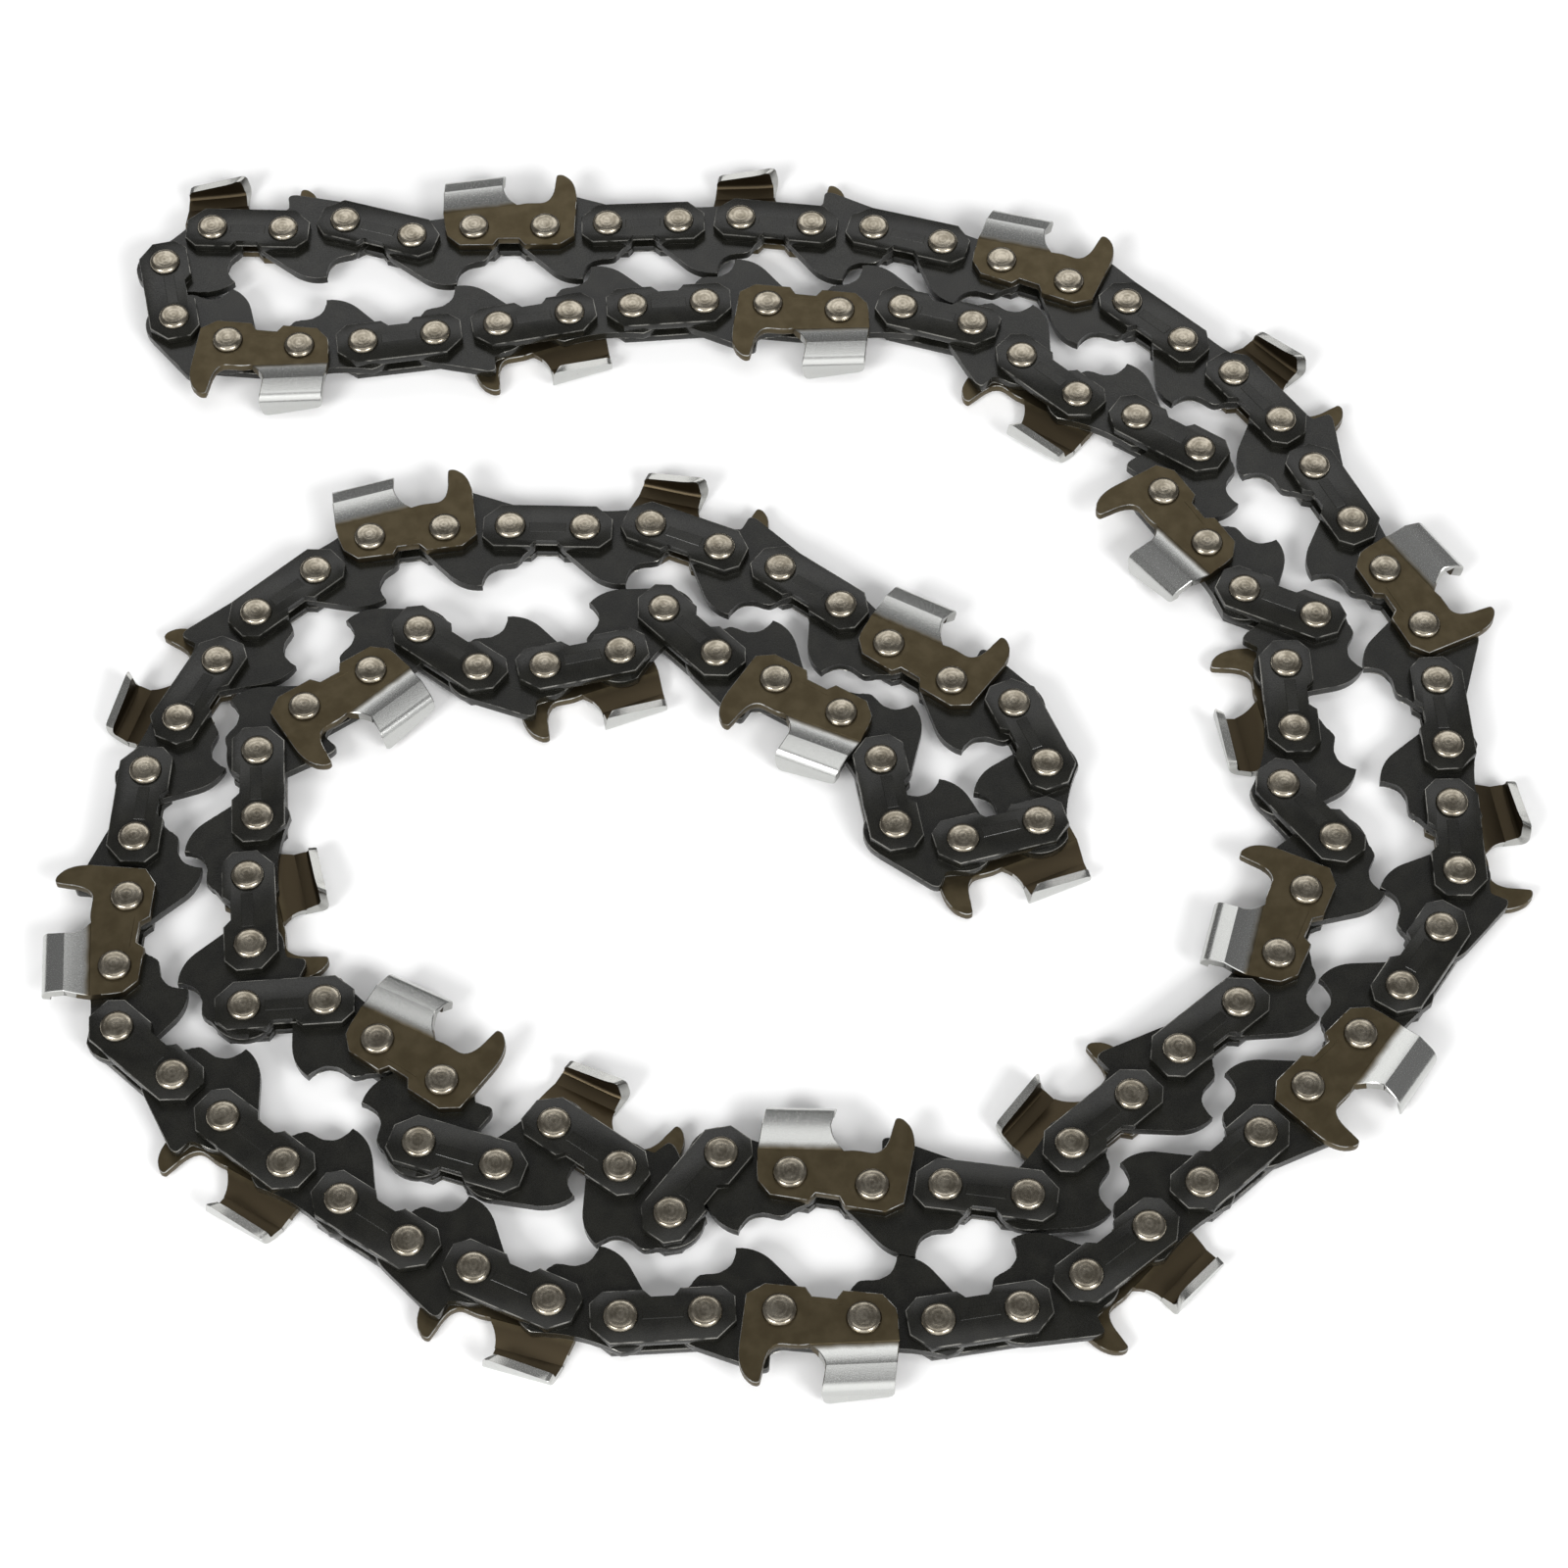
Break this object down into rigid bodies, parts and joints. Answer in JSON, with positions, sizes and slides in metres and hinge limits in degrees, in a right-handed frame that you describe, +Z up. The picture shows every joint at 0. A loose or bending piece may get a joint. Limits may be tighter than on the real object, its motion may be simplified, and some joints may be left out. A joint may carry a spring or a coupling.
{
  "type": "chainsaw chain loop",
  "caption": "Closed loop of saw chain lying on its side: drive links with hooked tangs, tie straps, left and right plated cutters with depth gauges, all joined by rivets.",
  "frame": {"origin": "centre of the lying loop's box, on the floor", "axes": "+Z up along the rivets, +X to the right and +Y away as in the picture"},
  "size_m": [0.1908, 0.1906, 0.0055],
  "materials": {
    "black_steel": "satin black",
    "plated_cutter": "satin, plated top",
    "rivet_steel": "spun"
  },
  "bodies": {
    "start_run": {"start_run_bumper_links": "black_steel", "start_run_drive_links": "black_steel", "start_run_left_cutters": "plated_cutter", "start_run_right_cutters": "plated_cutter", "start_run_rivets": "rivet_steel", "start_run_tie_straps": "black_steel"},
    "outer_swing_link_1": {"outer_swing_link_1": "black_steel"},
    "outer_run_1": {"outer_run_1_bumper_links": "black_steel", "outer_run_1_drive_links": "black_steel", "outer_run_1_left_cutters": "plated_cutter", "outer_run_1_right_cutters": "plated_cutter", "outer_run_1_rivets": "rivet_steel", "outer_run_1_tie_straps": "black_steel"},
    "outer_swing_link_2": {"outer_swing_link_2": "black_steel"},
    "outer_run_2": {"outer_run_2_bumper_links": "black_steel", "outer_run_2_drive_links": "black_steel", "outer_run_2_left_cutters": "plated_cutter", "outer_run_2_right_cutters": "plated_cutter", "outer_run_2_rivets": "rivet_steel", "outer_run_2_tie_straps": "black_steel"},
    "outer_swing_link_3": {"outer_swing_link_3": "black_steel"},
    "outer_run_3": {"outer_run_3_bumper_links": "black_steel", "outer_run_3_drive_links": "black_steel", "outer_run_3_left_cutters": "plated_cutter", "outer_run_3_right_cutters": "plated_cutter", "outer_run_3_rivets": "rivet_steel", "outer_run_3_tie_straps": "black_steel"},
    "outer_swing_link_4": {"outer_swing_link_4": "black_steel"},
    "end_run": {"end_run_bumper_links": "black_steel", "end_run_drive_links": "black_steel", "end_run_left_cutters": "plated_cutter", "end_run_right_cutters": "plated_cutter", "end_run_rivets": "rivet_steel", "end_run_tie_straps": "black_steel"},
    "inner_swing_link_4": {"inner_swing_link_4": "black_steel"},
    "inner_run_3": {"inner_run_3_bumper_links": "black_steel", "inner_run_3_drive_links": "black_steel", "inner_run_3_left_cutters": "plated_cutter", "inner_run_3_right_cutters": "plated_cutter", "inner_run_3_rivets": "rivet_steel", "inner_run_3_tie_straps": "black_steel"},
    "inner_swing_link_3": {"inner_swing_link_3": "black_steel"},
    "inner_run_2": {"inner_run_2_bumper_links": "black_steel", "inner_run_2_drive_links": "black_steel", "inner_run_2_left_cutters": "plated_cutter", "inner_run_2_right_cutters": "plated_cutter", "inner_run_2_rivets": "rivet_steel", "inner_run_2_tie_straps": "black_steel"},
    "inner_swing_link_2": {"inner_swing_link_2": "black_steel"},
    "inner_run_1": {"inner_run_1_bumper_links": "black_steel", "inner_run_1_drive_links": "black_steel", "inner_run_1_left_cutters": "plated_cutter", "inner_run_1_right_cutters": "plated_cutter", "inner_run_1_rivets": "rivet_steel", "inner_run_1_tie_straps": "black_steel"},
    "inner_swing_link_1": {"inner_swing_link_1": "black_steel"}
  },
  "joints": [
    {"name": "outer_swing_3_rear_rivet", "type": "hinge", "parent": "outer_run_2", "child": "outer_swing_link_3", "pos_m": [0.0632, -0.056, 0.00275], "axis": [0, 0, 1], "range_deg": [-24, 14]},
    {"name": "outer_swing_3_front_rivet", "type": "hinge", "parent": "outer_swing_link_3", "child": "outer_run_3", "pos_m": [0.05685, -0.06224, 0.00275], "axis": [0, 0, 1], "range_deg": [-14, 24]},
    {"name": "outer_swing_4_rear_rivet", "type": "hinge", "parent": "outer_run_3", "child": "outer_swing_link_4", "pos_m": [-0.04595, 0.03183, 0.00275], "axis": [0, 0, 1], "range_deg": [-40, 24]},
    {"name": "outer_swing_4_front_rivet", "type": "hinge", "parent": "outer_swing_link_4", "child": "end_run", "pos_m": [-0.03705, 0.0319, 0.00275], "axis": [0, 0, 1], "range_deg": [-24, 40]},
    {"name": "inner_swing_4_rear_rivet", "type": "hinge", "parent": "end_run", "child": "inner_swing_link_4", "pos_m": [-0.032, 0.00901, 0.00275], "axis": [0, 0, 1], "range_deg": [-40, 24]},
    {"name": "inner_swing_4_front_rivet", "type": "hinge", "parent": "inner_swing_link_4", "child": "inner_run_3", "pos_m": [-0.0409, 0.00894, 0.00275], "axis": [0, 0, 1], "range_deg": [-24, 40]},
    {"name": "inner_swing_3_rear_rivet", "type": "hinge", "parent": "inner_run_3", "child": "inner_swing_link_3", "pos_m": [0.04138, -0.05665, 0.00275], "axis": [0, 0, 1], "range_deg": [-24, 14]},
    {"name": "inner_swing_3_front_rivet", "type": "hinge", "parent": "inner_swing_link_3", "child": "inner_run_2", "pos_m": [0.04773, -0.05041, 0.00275], "axis": [0, 0, 1], "range_deg": [-14, 24]},
    {"name": "inner_swing_2_rear_rivet", "type": "hinge", "parent": "inner_run_2", "child": "inner_swing_link_2", "pos_m": [0.03366, 0.05923, 0.00275], "axis": [0, 0, 1], "range_deg": [-28, 14]},
    {"name": "outer_swing_2_front_rivet", "type": "hinge", "parent": "outer_run_2", "child": "outer_swing_link_2", "pos_m": [0.06284, 0.05537, 0.00275], "axis": [0, 0, 1], "range_deg": [-28, 14]},
    {"name": "outer_swing_2_rear_rivet", "type": "hinge", "parent": "outer_swing_link_2", "child": "outer_run_1", "pos_m": [0.05623, 0.06133, 0.00275], "axis": [0, 0, 1], "range_deg": [-14, 28]},
    {"name": "outer_swing_1_front_rivet", "type": "hinge", "parent": "outer_run_1", "child": "outer_swing_link_1", "pos_m": [-0.04323, 0.08458, 0.00275], "axis": [0, 0, 1], "range_deg": [-24, 20]},
    {"name": "outer_swing_1_rear_rivet", "type": "hinge", "parent": "outer_swing_link_1", "child": "start_run", "pos_m": [-0.05202, 0.08318, 0.00275], "axis": [0, 0, 1], "range_deg": [-20, 24]},
    {"name": "inner_swing_1_front_rivet", "type": "hinge", "parent": "start_run", "child": "inner_swing_link_1", "pos_m": [-0.0482, 0.06543, 0.00275], "axis": [0, 0, 1], "range_deg": [-24, 20]},
    {"name": "inner_swing_1_rear_rivet", "type": "hinge", "parent": "inner_swing_link_1", "child": "inner_run_1", "pos_m": [-0.03941, 0.06683, 0.00275], "axis": [0, 0, 1], "range_deg": [-20, 24]}
  ],
  "couplings": [
    {"joint": "outer_swing_3_front_rivet", "follows": "outer_swing_3_rear_rivet", "ratio": -1},
    {"joint": "outer_swing_4_front_rivet", "follows": "outer_swing_4_rear_rivet", "ratio": -1},
    {"joint": "inner_swing_4_rear_rivet", "follows": "outer_swing_4_rear_rivet", "ratio": 1},
    {"joint": "inner_swing_4_front_rivet", "follows": "outer_swing_4_rear_rivet", "ratio": -1},
    {"joint": "inner_swing_3_rear_rivet", "follows": "outer_swing_3_rear_rivet", "ratio": 1},
    {"joint": "inner_swing_3_front_rivet", "follows": "outer_swing_3_rear_rivet", "ratio": -1},
    {"joint": "inner_swing_2_rear_rivet", "follows": "outer_swing_2_front_rivet", "ratio": 1},
    {"joint": "outer_swing_2_rear_rivet", "follows": "outer_swing_2_front_rivet", "ratio": -1},
    {"joint": "outer_swing_1_rear_rivet", "follows": "outer_swing_1_front_rivet", "ratio": -1},
    {"joint": "inner_swing_1_front_rivet", "follows": "outer_swing_1_front_rivet", "ratio": 1},
    {"joint": "inner_swing_1_rear_rivet", "follows": "outer_swing_1_front_rivet", "ratio": -1}
  ]
}
